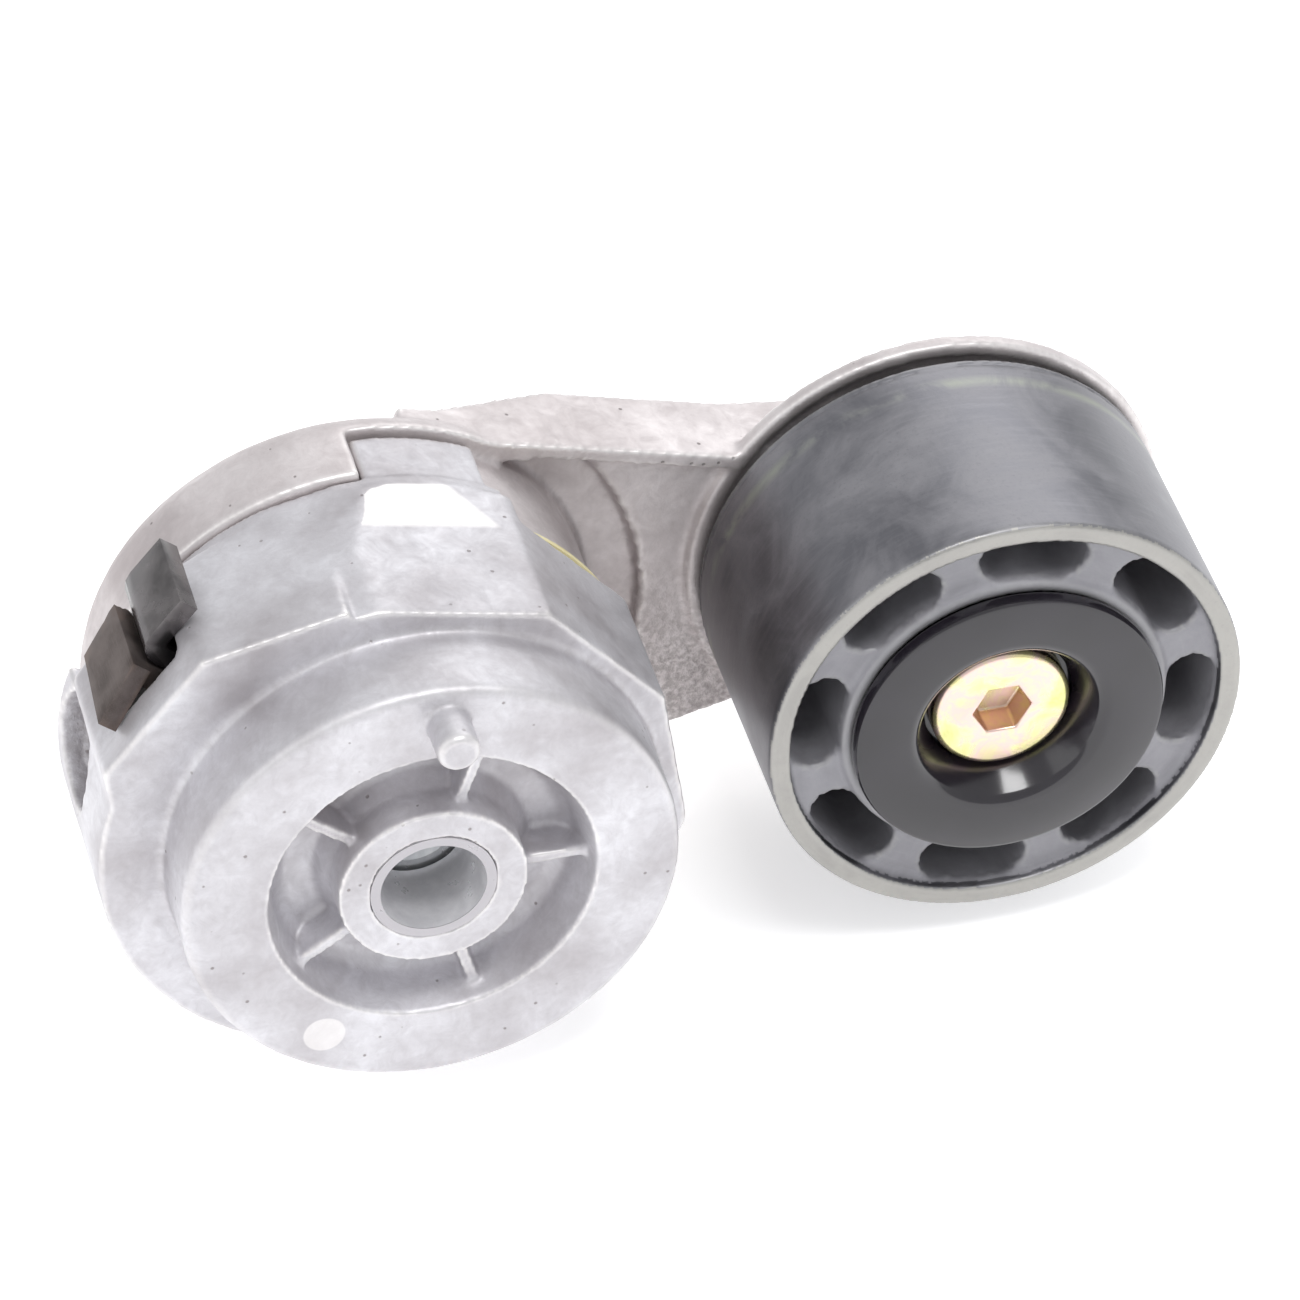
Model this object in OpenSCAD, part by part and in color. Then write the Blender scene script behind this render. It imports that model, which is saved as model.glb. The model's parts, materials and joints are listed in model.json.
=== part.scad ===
// Spring-loaded belt tensioner with a smooth idler pulley.
// Millimetres. Y is the pivot axis: the mounting face looks along -Y and the arm lies behind the
// spring case. X runs from the pivot to the pulley and Z is up. The origin is the centre of the
// mounting face. Outlines in the X-Z plane are seen from the mounting side, with +Z up.

/* [Spring case] */
// Radius of the round nose that carries the mounting face
nose_r = 37.4; // [36:0.1:39]
// Length of the nose, from the mounting face to the shoulder
nose_len = 13.4; // [10:0.1:15]
// Radius of the case's drum behind the shoulder
case_r = 42.6; // [41.5:0.1:44]
// Distance from the mounting face to the case's back edge
case_len = 46.2; // [43:0.1:50]
// Same distance on the pulley's side, where the wall is cut back
case_open_len = 37.2; // [36.5:0.1:40]
// Radius of the spring cup
cup_r = 36.4; // [36:0.1:37]
// Distance from the mounting face to the cup's floor
cup_floor = 14.5; // [13.5:0.1:16]
// Radius of the eccentric bulge on the left of the drum
bulge_r = 41.5; // [40:0.1:43]
// How far the bulge's centre lies left of the pivot
bulge_shift = 5.5; // [4:0.1:7]
// Distance from the pivot to the flat that the spring's end comes through
window_flat = 47.8; // [47:0.1:50]
// Height of the spring window along the flat
window_len = 15.2; // [14.6:0.1:16]
// Width of the spring window along the pivot
window_w = 17.5; // [16:0.5:19]

/* [Mounting face] */
// Radius at which the flat face ends and the recess begins
face_in_r = 24.7; // [22:0.1:27]
// Rounding of the face's outer edge
face_round = 1.6; // [0.5:0.1:3]
// Depth of the recess around the boss
recess_depth = 9; // [5:0.5:10]
// Radius of the centre boss
boss_r = 14.3; // [13.5:0.1:15]
// Number of ribs in the recess
rib_count = 5; // [3:1:8]
// Thickness of each rib
rib_t = 1.8; // [1:0.1:3]
// Radius of the locating pin
pin_r = 3.25; // [2:0.05:4]
// Length of the locating pin in front of the face
pin_len = 7.5; // [4:0.1:12]
// Distance from the pivot axis to the locating pin
pin_place_r = 31.6; // [29.5:0.1:32]
// Bore radius of the pilot bush that centres the tensioner
pilot_r = 8; // [7:0.05:8.2]
// Length of the pilot bush
pilot_len = 13; // [8:0.5:13]

/* [Pivot] */
// Outer radius of the pivot tube
tube_r = 11; // [10.2:0.05:11.5]
// Radius of the through hole for the mounting bolt
bolt_hole_r = 5.25; // [4:0.05:6.5]
// Radial running clearance of the arm on the tube
run_gap = 0.05; // [0.02:0.01:0.09]
// Wall thickness of the pivot bushings
bushing_wall = 2.45; // [2:0.05:3]

/* [Spring] */
// Thickness of the spring strip
strip_t = 3.2; // [2.4:0.1:3.3]
// Width of the spring strip
strip_w = 14.6; // [12:0.1:15]
// Number of turns between the arbor and the case
strip_turns = 3; // [2:1:3]

/* [Arm] */
// Distance from the pivot to the pulley axis
arm_len = 91.8; // [88:0.1:115]
// Radius of the drum ring around the pivot
drum_r = 41.3; // [41:0.1:43]
// Distance from the mounting face to the drum's back
drum_back = 65; // [63:0.1:68]
// Distance from the mounting face to the beam's front
beam_front = 57; // [56.8:0.1:58]
// Distance from the mounting face to the beam's back
beam_back = 71; // [69.5:0.1:76]
// Radius of the round flange behind the pulley
flange_r = 38; // [34:0.1:42]

/* [Pulley] */
// Outer radius of the pulley
pulley_r = 37; // [35.5:0.1:40]
// Width of the pulley
pulley_w = 41; // [38:0.1:41.2]
// Distance from the mounting face to the pulley's front
pulley_front = 14.2; // [13.5:0.1:15]
// Width of the machined rim at the front
rim_w = 3.3; // [2:0.1:3.5]
// Number of kidney-shaped windows
kidney_count = 8; // [5:1:8]
// Radial width of each window
kidney_w = 7.6; // [4:0.1:7.6]
// Angle that each window spans between its round ends
kidney_span = 18; // [10:1:22]

/* [Bearings] */
// Outer radius of each ball bearing
bearing_r = 23.5; // [23:0.1:23.6]
// Bore radius of each ball bearing
bearing_bore_r = 8.5; // [8:0.1:9]
// Width of each ball bearing
bearing_w = 14; // [13.6:0.1:14]
// Radius of the bearing balls
ball_r = 4.3; // [3.5:0.05:4.4]
// Balls in each bearing
ball_count = 8; // [6:1:8]

/* [Pulley bolt and shields] */
// Radius of the bolt's head
head_r = 10.8; // [10:0.1:11.2]
// Thickness of the bolt's head
head_t = 3.3; // [2.5:0.1:4]
// Radius of the bolt's shank
shank_r = 6; // [5:0.1:6]
// Width across the flats of the hex socket
socket_af = 8; // [6:0.5:8]
// Outer radius of the front dust shield
shield_r = 24.2; // [21:0.1:24.8]
// How far the dust shield stands in front of the pulley
shield_proud = 1.9; // [1:0.1:3]

/* [Hidden] */
$fn = 96;

// A cut reaches this far past the faces it opens
over = 1;
// Working gap between pieces that turn past each other
turn_gap = 0.4;
// Gap between a thrust face and the piece that turns on it
thrust_gap = 0.05;

// Case
shoulder_y = nose_len;
shroud_in_r = cup_r + 2;
case_back_r = shroud_in_r + 2;
open_angle_low = -62;
open_angle_high = 57;
top_flat_angle = 77;
top_flat = case_r - 2.1;
right_flat_angle = 41;
right_flat = case_r - 2.5;
top_left_flat_angle = 102.5;
top_left_flat = case_r + 1.6;
top_left_tilt = 7.4;
low_flat_angle = 8;
lowest_flat_angle = -30;
low_flat = case_back_r + 0.1;
bulge_angle = 162;
window_angle = 139.7;
window_y0 = 20.4;
window_turn = -1.4;
pocket_angle = 171.5;
pocket_y = 35.3;
pocket_r = 8.8;
pocket_floor_r = bulge_r + 0.9;
lug_angle_low = 60;
lug_angle_high = 88.4;
lug_r = shroud_in_r + 1.5;
lug_back = beam_front - 0.6;
rib_first = 69.5;
rib_drop = 3;
pin_angle = 85;
hub_len = cup_floor + 11.5;
bush_wall = 1.5;
bush_r = pilot_r + bush_wall;
tube_front = pilot_len + 0.6;

// Pivot stack, from the case's hub to the retaining plate
washer_t = 0.95;
washer_y = hub_len + thrust_gap;
bushing_y0 = washer_y + washer_t + thrust_gap;
bushing_r = tube_r + run_gap + bushing_wall;
bushing_len = 16;
disc_t = 1.5;
disc_r = bushing_r + 6.5;
disc_y = drum_back + thrust_gap;
plate_t = 2.4;
plate_r = disc_r + 1;
plate_y = disc_y + disc_t;
tube_back = plate_y + plate_t + 1;

// Spring
arbor_r = bushing_r + 5.5;
arbor_front = cup_floor + 2.5;
arbor_bore_r = boss_r + turn_gap + 0.2;
strip_y0 = arbor_front + 1.4;
strip_y1 = strip_y0 + strip_w;
liner_t = 0.7;
liner_gap = 0.05;
liner_r = cup_r - liner_gap;
plate_gap = 0.6;
sp_plate_y = strip_y1 + 2.2;
sp_plate_t = 1.2;
coil_r0 = arbor_r + strip_t / 2 + 0.5;
coil_r1 = liner_r - liner_t - strip_t / 2 - 0.5;
tang_y0 = window_y0 + 2.8;
keeper_edge = -0.8;

// Arm
skirt_r = shroud_in_r - turn_gap;
skirt_wall = 4;
skirt_front = case_open_len + 1.4;
drum_front = case_len + turn_gap / 2;
drum_round = 9;
drum_end_angle = 300;
web_front = beam_front + 1.5;
pocket_wall_r = 46.3;
pocket_floor = web_front + 2.2;
ridge_w = 2.6;
flange_front = beam_front + 0.5;
flange_t = 2.6;
flange_back = flange_front + 5.5;
flange_rim = 2.4;
insert_r = shank_r + 3;
arm_boss_r = insert_r + 5;

// Pulley axis stack, from front to back
pulley_back = pulley_front + pulley_w;
shield_t = 1.2;
shield_front = pulley_front - shield_proud;
bearing_y0 = pulley_front + 6.8;
shield_base_y = bearing_y0 - shield_t;
bearing_y1 = bearing_y0 + bearing_w;
bearing_y2 = bearing_y1 + bearing_w;
head_y = shield_base_y - head_t;
snap_t = 1.5;
snap_depth = 1.1;
seal_t = 0.8;
seal_in = 0.3;
pitch_r = (bearing_r + bearing_bore_r) / 2;
race_gap = 0.1;
shoulder_gap = 1.6;
web_drop = 2;
hub_ring_r = bearing_r + 1.9;
kidney_r = (hub_ring_r + 0.3 + pulley_r - rim_w - 0.3) / 2;
kidney_first = -7.7;
dish_r = 15.5;
dish_base_r = head_r + 0.9;

// ---- helpers ----------------------------------------------------------------

// Raises an outline in the X-Z plane from y0 to y1
module slab(y0, y1) {
    translate([0, y1, 0]) rotate([90, 0, 0]) linear_extrude(y1 - y0) children();
}

// Round bar along Y
module rod(r, y0, y1, x = 0) {
    translate([x, y0, 0]) rotate([-90, 0, 0]) cylinder(h = y1 - y0, r = r);
}

// Ring along Y
module ring(r_in, r_out, y0, y1, x = 0) {
    difference() {
        rod(r_out, y0, y1, x);
        rod(r_in, y0 - over, y1 + over, x);
    }
}

// Solid turned about Y from a list of [radius, y]
module turned(profile, x = 0) {
    translate([x, 0, 0]) rotate([-90, 0, 0]) rotate_extrude() polygon(profile);
}

// Flat sector between two angles
module wedge(a0, a1, r = 90) {
    polygon(concat([[0, 0]], arc_points([0, 0], r, a0, a1, ceil((a1 - a0) / 30))));
}

// Flat ring sector between two angles
module arc_band(r_in, r_out, a0, a1) {
    intersection() {
        difference() {
            circle(r_out);
            circle(r_in);
        }
        wedge(a0, a1);
    }
}

// Everything on the pivot's side of a flat at this angle and distance
module half_plane(angle, distance) {
    rotate(angle) translate([distance - 200, -100]) square(200);
}

// Corner where two flats meet, each given by its angle and its distance from the pivot
function corner(a0, d0, a1, d1) =
    let (k = sin(a1 - a0))
    [(d0 * sin(a1) - d1 * sin(a0)) / k, (d1 * cos(a0) - d0 * cos(a1)) / k];

// Points along an arc about a centre
function arc_points(centre, r, a0, a1, n = 6) =
    [for (i = [0:n]) let (a = a0 + (a1 - a0) * i / n) centre + r * [cos(a), sin(a)]];

// Outline of a strip of thickness t along a centre line
function unit(v) = v / norm(v);
function side(path, i) =
    let (d = unit(path[min(i + 1, len(path) - 1)] - path[max(i - 1, 0)])) [-d[1], d[0]];
function strip_outline(path, t) = concat(
    [for (i = [0:len(path) - 1]) path[i] + side(path, i) * t / 2],
    [for (i = [len(path) - 1:-1:0]) path[i] - side(path, i) * t / 2]);

// ---- spring case body ---------------------------------------------------------

// Point on the window's flat: distance along it and distance from the pivot
function on_flat(along, out) =
    out * [cos(window_angle), sin(window_angle)] + along * [-sin(window_angle), cos(window_angle)];

// Cross-section of the case behind the shoulder
module case_outline() {
    intersection() {
        union() {
            circle(case_r);
            polygon([[0, 0], corner(top_flat_angle, top_flat, top_left_flat_angle, top_left_flat),
                corner(top_left_flat_angle, top_left_flat, window_angle, window_flat),
                on_flat(13.9, window_flat), on_flat(22, window_flat - 9)]);
        }
        half_plane(top_flat_angle, top_flat);
        half_plane(right_flat_angle, right_flat);
        half_plane(low_flat_angle, low_flat);
        half_plane(lowest_flat_angle, low_flat);
    }
}

// Envelope that brings the flats down to the round back edge
module case_envelope() {
    outer = window_flat + 4.2;
    turned([[0, shoulder_y], [outer, shoulder_y], [outer, case_len - 10.7],
        [window_flat - 0.3, case_len - 9.2], [case_r + 1.8, case_len - 6],
        [case_back_r + 0.8, case_len - 3.2], [case_back_r, case_len - 1.2], [case_back_r, case_len],
        [0, case_len]]);
}

// Cut that leans a flat towards the pivot as it goes back from the shoulder
module tilted_cut(angle, distance, tilt) {
    rotate([0, -angle, 0]) translate([distance, shoulder_y, 0]) rotate([0, 0, tilt])
        translate([0, -20, -60]) cube([30, 100, 120]);
}

module case_solid() {
    nose_edge = arc_points([nose_r - face_round, face_round], face_round, -90, 0);
    turned(concat([[0, 0]], nose_edge, [[nose_r, shoulder_y + over], [0, shoulder_y + over]]));
    difference() {
        intersection() {
            slab(shoulder_y, case_len) case_outline();
            case_envelope();
        }
        tilted_cut(top_left_flat_angle, top_left_flat, top_left_tilt);
    }
    slab(shoulder_y, case_len - 0.4) intersection() {
        translate([-bulge_shift, 0]) circle(bulge_r);
        wedge(bulge_angle, 300);
    }
    slab(case_open_len - over, lug_back) arc_band(cup_r - 0.5, lug_r, lug_angle_low, lug_angle_high);
}

// Bowl around the boss in the mounting face
module face_recess() {
    wall = 2;
    turned([[boss_r, -over], [boss_r, recess_depth - 3.5], [boss_r + wall, recess_depth],
        [face_in_r - 2 * wall, recess_depth], [face_in_r - wall, recess_depth - 1.5],
        [face_in_r, 0], [face_in_r, -over]]);
}

module face_ribs() {
    for (i = [0:rib_count - 1])
        rotate([0, -rib_first - i * 360 / rib_count, 0])
            translate([boss_r - over, rib_drop, -rib_t / 2])
                cube([face_in_r - boss_r + over, recess_depth - rib_drop + 0.5, rib_t]);
}

module case_window() {
    slab(window_y0, window_y0 + window_w)
        polygon([on_flat(-window_len / 2 - window_turn, 60), on_flat(window_len / 2 - window_turn, 60),
            on_flat(window_len / 2 - window_turn, 30), on_flat(-window_len / 2 - window_turn, 30)]);
}

module spring_case() color("#d9d4d3") {
    difference() {
        case_solid();
        face_recess();
        difference() {
            rod(cup_r, cup_floor, case_len + 20);
            rod(boss_r, cup_floor - over, hub_len);
        }
        rod(shroud_in_r, case_open_len, case_len + 20);
        slab(case_open_len, case_len + over) difference() {
            wedge(open_angle_low, open_angle_high);
            circle(cup_r - over);
        }
        case_window();
        rotate([0, -pocket_angle, 0]) translate([pocket_floor_r, pocket_y, 0]) rotate([0, 90, 0])
            cylinder(h = 20, r = pocket_r);
        rod(bush_r, -over, tube_front);
        rod(tube_r, tube_front - over, hub_len + over);
    }
    face_ribs();
    translate([pin_place_r * cos(pin_angle), 0, pin_place_r * sin(pin_angle)]) {
        rod(pin_r, -pin_len + 0.6, 1);
        rotate([-90, 0, 0]) translate([0, 0, -pin_len]) cylinder(h = 0.6, r1 = pin_r - 0.6, r2 = pin_r);
    }
}

module pilot_bush() color("#c9ccd1") ring(pilot_r, bush_r, 0, pilot_len);

module pivot_tube() color("#c2c6cc") {
    chamfer = 1.2;
    turned([[bolt_hole_r + chamfer, tube_front], [tube_r, tube_front], [tube_r, tube_back],
        [bolt_hole_r + 0.4, tube_back], [bolt_hole_r, tube_back - 0.4],
        [bolt_hole_r, tube_front + chamfer]]);
}

module spring_liner() color("#e4dcb0") {
    slot_low = window_angle - 17;
    slot_high = window_angle + 25;
    difference() {
        ring(liner_r - liner_t, liner_r, cup_floor + 0.5, case_open_len + 0.9);
        slab(cup_floor, case_open_len + 2) wedge(slot_low, slot_high);
    }
    slab(case_open_len, case_open_len + 0.9)
        arc_band(liner_r - 0.1, case_back_r - 0.2, open_angle_low + 1, open_angle_high - 1);
}

// Centre line of the spring: a tab in the arbor's slot, the coil, then the tang on the window's flat
turns_angle = strip_turns * 360;
coil_end = 160;
coil_start = coil_end + turns_angle;
coil_steps = 28 * strip_turns;
coil_path = [for (i = [0:coil_steps])
    let (k = i / coil_steps, a = coil_start - turns_angle * k, r = coil_r0 + (coil_r1 - coil_r0) * k)
    r * [cos(a), sin(a)]];
tab_angle = coil_start + 7;
tab_path = [for (r = [arbor_r - 2.6, arbor_r - 1.2]) r * [cos(tab_angle), sin(tab_angle)]];
tang_out = window_flat + strip_t / 2 + 0.1;
bend_r = 2.4;
bend_along = -5.2;
exit_point = on_flat(-1, cup_r + 2.6);
exit_path = [coil_path[coil_steps], on_flat(4.6, coil_r1 + 1.6), exit_point];
tang_path = concat([exit_point, on_flat(bend_along + bend_r, window_flat - 3.6)],
    [for (p = arc_points([0, 0], bend_r, 0, 90, 4)) on_flat(bend_along + p[0], tang_out - bend_r + p[1])],
    [on_flat(-12.4, tang_out)]);

module torsion_spring() color("#4d4a4b") {
    slab(strip_y0, strip_y1) polygon(strip_outline(concat(tab_path, coil_path), strip_t));
    slab(tang_y0, tang_y0 + strip_w) polygon(strip_outline(tang_path, strip_t));
    slab(tang_y0, strip_y1) polygon(strip_outline(exit_path, strip_t));
}

// Sheared steel clip that wedges the spring's end in the window: its plate lies on the flat and
// its foot reaches into the window
module spring_keeper() color("#5d5554") {
    plate = [[1, keeper_edge], [-2.3, 8.8], [12, 7.6], [15.1, keeper_edge + 0.1]];
    foot = [[2.1, keeper_edge], [1.6, keeper_edge + strip_t], [13.6, keeper_edge + strip_t],
        [14.1, keeper_edge]];
    keeper_out = window_flat + 0.3;
    rotate([0, -window_angle, 0]) translate([keeper_out, window_y0, 0]) {
        rotate([90, 0, 90]) linear_extrude(strip_t) polygon(plate);
        translate([-strip_t, 0, 0]) rotate([90, 0, 90]) linear_extrude(strip_t + 0.2) polygon(foot);
    }
}

module spring_plate() color("#9a9b9e") {
    ring(arbor_r + plate_gap, liner_r - liner_t - 0.05, sp_plate_y, sp_plate_y + sp_plate_t);
}

module damping_shoe() color("#d8cfa0") {
    shoe_y = sp_plate_y + sp_plate_t;
    shoe_r = skirt_r - skirt_wall - 0.1;
    shoe_t = 3.4;
    slab(shoe_y, beam_front - 2) arc_band(shoe_r - shoe_t, shoe_r, 20, 340);
}

module thrust_washer() color("#e8e2c8") {
    ring(tube_r + run_gap, boss_r - 0.1, washer_y, washer_y + washer_t);
}

module friction_disc() color("#e8e2c8") {
    ring(tube_r + run_gap, disc_r, disc_y, plate_y);
}

module retaining_plate() color("#bfc3c8") {
    edge = 0.8;
    turned([[tube_r, plate_y], [plate_r, plate_y], [plate_r, plate_y + plate_t - edge],
        [plate_r - edge, plate_y + plate_t], [tube_r, plate_y + plate_t]]);
}

// ---- arm body ---------------------------------------------------------------------

// Straight sides of the beam, from the drum to the pulley's flange
function around(x, r, a) = [x + r * cos(a), r * sin(a)];
beam_top_root = around(0, drum_r - 2.4, 74.6);
beam_top_end = around(arm_len, flange_r - 0.5, 141.8);
beam_low_root = around(0, drum_r - 0.3, -74.7);
beam_low_end = around(arm_len, flange_r + 1.9, -138.1);

module beam_outline() {
    polygon([[0, 0], beam_top_root, beam_top_end, [arm_len - 8, 20], [arm_len - 8, -20],
        beam_low_end, beam_low_root]);
}

// Side view of the beam: its back slopes up from the drum
module beam_side() {
    reach = arm_len + flange_r;
    slope_x = plate_r - 5;
    translate([0, 0, -reach]) linear_extrude(2 * reach)
        polygon([[-reach, beam_front - over], [reach, beam_front - over], [reach, beam_back],
            [slope_x + 18, beam_back], [slope_x, drum_back], [-reach, drum_back]]);
}

module arm_drum() {
    back_arc = arc_points([drum_r - drum_round, drum_back - drum_round], drum_round, 0, 90);
    turned(concat([[0, drum_front], [drum_r, drum_front]], back_arc, [[0, drum_back]]));
    ring(skirt_r - skirt_wall, skirt_r, skirt_front, beam_front + over);
    rod(arbor_r, arbor_front, drum_back);
}

module arm_beam() {
    intersection() {
        union() {
            slab(web_front, beam_back) beam_outline();
            slab(beam_front, web_front + over) intersection() {
                beam_outline();
                polygon([beam_top_root - [0, ridge_w], beam_top_root + [0, 2], beam_top_end + [0, 2],
                    beam_top_end - [0, ridge_w]]);
            }
        }
        beam_side();
    }
}

module arm_flange() {
    ring(flange_r - flange_rim, flange_r, flange_front, flange_front + flange_t, arm_len);
    rod(flange_r - flange_rim - 0.6, flange_front + 1.4, flange_back, arm_len);
    ring(arm_boss_r, flange_r - 0.5, flange_front + 1.4, flange_front + flange_t, arm_len);
    rod(arm_boss_r, beam_front, beam_back, arm_len);
}

// Space outside the skirt in which the case's lug travels, and the pocket in the beam
module arm_clearance() {
    slab(drum_front - over, beam_front) difference() {
        wedge(drum_end_angle - 360, lug_angle_high + 0.5);
        circle(skirt_r);
    }
    slab(beam_front - over, pocket_floor) {
        intersection() {
            arc_band(skirt_r, pocket_wall_r, -14, 80);
            polygon([beam_top_root - [5, ridge_w], beam_top_end - [0, ridge_w], [arm_len, -60], [0, -60]]);
        }
        difference() {
            polygon([[30, -5], [45, -5], [47, -18], [54, -38], [20, -44], [22, -24]]);
            circle(skirt_r);
        }
    }
}

// Slot in the arbor that the spring's inner tab hooks into, widened where the strip leaves it
module arbor_slot() {
    root = (arbor_bore_r - over) * [cos(tab_angle), sin(tab_angle)];
    slab(arbor_front - over, strip_y1 + over)
        polygon(strip_outline([root, tab_path[1], coil_path[0], coil_path[1]], strip_t + 0.8));
}

module tensioner_arm() color("#d2cccb") {
    cavity_r = skirt_r - skirt_wall;
    difference() {
        union() {
            arm_drum();
            arm_beam();
            arm_flange();
        }
        arm_clearance();
        difference() {
            rod(cavity_r, arbor_front, beam_front);
            rod(arbor_r, arbor_front - over, beam_front + over);
        }
        rod(arbor_bore_r, arbor_front - over, bushing_y0);
        rod(bushing_r, bushing_y0 - over, drum_back + over);
        rod(plate_r + 1.5, drum_back, beam_back + over);
        arbor_slot();
        rod(insert_r, beam_front - over, beam_back + over, arm_len);
    }
}

module pivot_bushing(y0) {
    ring(tube_r + run_gap, bushing_r, y0, y0 + bushing_len);
}

module pivot_bushing_front() color("#c9b98a") pivot_bushing(bushing_y0);
module pivot_bushing_rear() color("#c9b98a") pivot_bushing(drum_back - bushing_len);

module threaded_insert() color("#b9bdc2") {
    ring(shank_r, insert_r, beam_front, beam_back - 0.5, arm_len);
}

module rear_spacer() color("#b9bdc2") {
    ring(shank_r + 0.1, bearing_bore_r + 2.6, bearing_y2, beam_front, arm_len);
}

module rear_shield() color("#3a3a3c") {
    shield_y = pulley_back + 0.6;
    turned([[bearing_bore_r + 2.6, shield_y], [bearing_r - 1, shield_y], [bearing_r - 1, shield_y + 1.8],
        [bearing_r - 2, shield_y + 1.8], [bearing_r - 2, shield_y + 1], [bearing_bore_r + 2.6, shield_y + 1]],
        arm_len);
}

module bearing_sleeve() color("#b9bdc2") {
    ring(shank_r + 0.1, bearing_bore_r, bearing_y0, bearing_y2, arm_len);
}

module bearing_inner(y0) {
    mid = y0 + bearing_w / 2;
    difference() {
        ring(bearing_bore_r, pitch_r - ball_r + shoulder_gap, y0, y0 + bearing_w, arm_len);
        ball_groove(mid);
    }
}

module ball_groove(mid) {
    translate([arm_len, mid, 0]) rotate([-90, 0, 0]) rotate_extrude()
        translate([pitch_r, 0]) circle(ball_r + race_gap, $fn = 48);
}

module bearing_inner_front() color("#c8cbd0") bearing_inner(bearing_y0);
module bearing_inner_rear() color("#c8cbd0") bearing_inner(bearing_y1);

module dust_shield() color("#232227") {
    curl = 2.2;
    turned([[shank_r + 0.1, shield_base_y], [dish_base_r, shield_base_y],
        [dish_r - 0.6, shield_front + 1.4], [dish_r + 0.6, shield_front],
        [shield_r - 0.8, shield_front], [shield_r, shield_front + 0.8],
        [shield_r, shield_front + curl], [shield_r - shield_t, shield_front + curl],
        [shield_r - shield_t, shield_front + shield_t], [dish_r + 1, shield_front + shield_t],
        [dish_base_r + shield_t, bearing_y0], [shank_r + 0.1, bearing_y0]], arm_len);
}

module pulley_bolt() color("#cdbb74") {
    socket_depth = 5;
    edge = 0.7;
    difference() {
        union() {
            turned([[0, head_y], [head_r - edge, head_y], [head_r, head_y + edge],
                [head_r, shield_base_y], [0, shield_base_y]], arm_len);
            rod(shank_r, shield_base_y - over, beam_back - 2, arm_len);
        }
        translate([arm_len, head_y - over, 0]) rotate([-90, 0, 0])
            cylinder(h = socket_depth + over, r = socket_af / 2 / cos(30), $fn = 6);
    }
}

// ---- pulley body -----------------------------------------------------------------

module pulley_profile() {
    edge = 0.4;
    lip = 1.4;
    web_front_y = pulley_front + web_drop;
    rim_in = pulley_r - rim_w;
    seat_end = bearing_y2;
    turned([[bearing_r, web_front_y - 1], [hub_ring_r, web_front_y - 1], [hub_ring_r, web_front_y],
        [rim_in, web_front_y], [rim_in, pulley_front], [pulley_r - edge, pulley_front],
        [pulley_r, pulley_front + edge], [pulley_r, pulley_back - lip - edge],
        [pulley_r - edge, pulley_back - lip], [pulley_r - edge, pulley_back - lip + 0.3],
        [pulley_r, pulley_back - lip + 0.3 + edge], [pulley_r, pulley_back - edge],
        [pulley_r - edge, pulley_back], [rim_in, pulley_back], [rim_in, pulley_back - web_drop],
        [hub_ring_r, pulley_back - web_drop], [hub_ring_r, seat_end + 2], [bearing_r - 2, seat_end + 2],
        [bearing_r - 2, seat_end], [bearing_r, seat_end]], arm_len);
}

module kidney_outline() {
    for (end = [-1, 1])
        rotate(end * kidney_span / 2) translate([kidney_r, 0]) circle(kidney_w / 2, $fn = 48);
    arc_band(kidney_r - kidney_w / 2, kidney_r + kidney_w / 2, -kidney_span / 2, kidney_span / 2);
}

module pulley() color("#6d7173") {
    difference() {
        pulley_profile();
        translate([arm_len, 0, 0]) slab(pulley_front - over, pulley_back + over)
            for (i = [0:kidney_count - 1])
                rotate(kidney_first + i * 360 / kidney_count) kidney_outline();
        rod(bearing_r + snap_depth, bearing_y0 - snap_t, bearing_y0, arm_len);
    }
}

module bearing_outer(y0) {
    difference() {
        ring(pitch_r + ball_r - shoulder_gap, bearing_r, y0, y0 + bearing_w, arm_len);
        ball_groove(y0 + bearing_w / 2);
    }
}

module bearing_outer_front() color("#c8cbd0") bearing_outer(bearing_y0);
module bearing_outer_rear() color("#c8cbd0") bearing_outer(bearing_y1);

module seal(y0) {
    lip_gap = 0.15;
    inner = pitch_r - ball_r + shoulder_gap + lip_gap;
    ring(inner, pitch_r + ball_r - shoulder_gap, y0, y0 + seal_t, arm_len);
}

module seal_front() color("#2b2b2b") seal(bearing_y0 + seal_in);
module seal_rear() color("#2b2b2b") seal(bearing_y2 - seal_in - seal_t);

module snap_ring() color("#5b5d60") {
    translate([arm_len, 0, 0]) slab(bearing_y0 - snap_t, bearing_y0)
        arc_band(bearing_r - 1.4, bearing_r + snap_depth, 12, 348);
}

// ---- ball sets --------------------------------------------------------------------

module each_ball(y0) {
    for (i = [0:ball_count - 1])
        translate([arm_len, y0 + bearing_w / 2, 0]) rotate([0, i * 360 / ball_count, 0]) children();
}

module ball_ring(y0) {
    each_ball(y0) translate([pitch_r, 0, 0]) sphere(ball_r, $fn = 48);
}

module cage(y0) {
    cage_w = 2 * (ball_r + race_gap) + 1.8;
    mid = y0 + bearing_w / 2;
    difference() {
        ring(pitch_r - 0.9, pitch_r + 0.9, mid - cage_w / 2, mid + cage_w / 2, arm_len);
        each_ball(y0) rotate([0, 90, 0]) cylinder(h = pitch_r + 3, r = ball_r + race_gap);
    }
}

module balls_front() color("#dfe2e6") ball_ring(bearing_y0);
module balls_rear() color("#dfe2e6") ball_ring(bearing_y1);
module cage_front() color("#a9884f") cage(bearing_y0);
module cage_rear() color("#a9884f") cage(bearing_y1);

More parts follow.
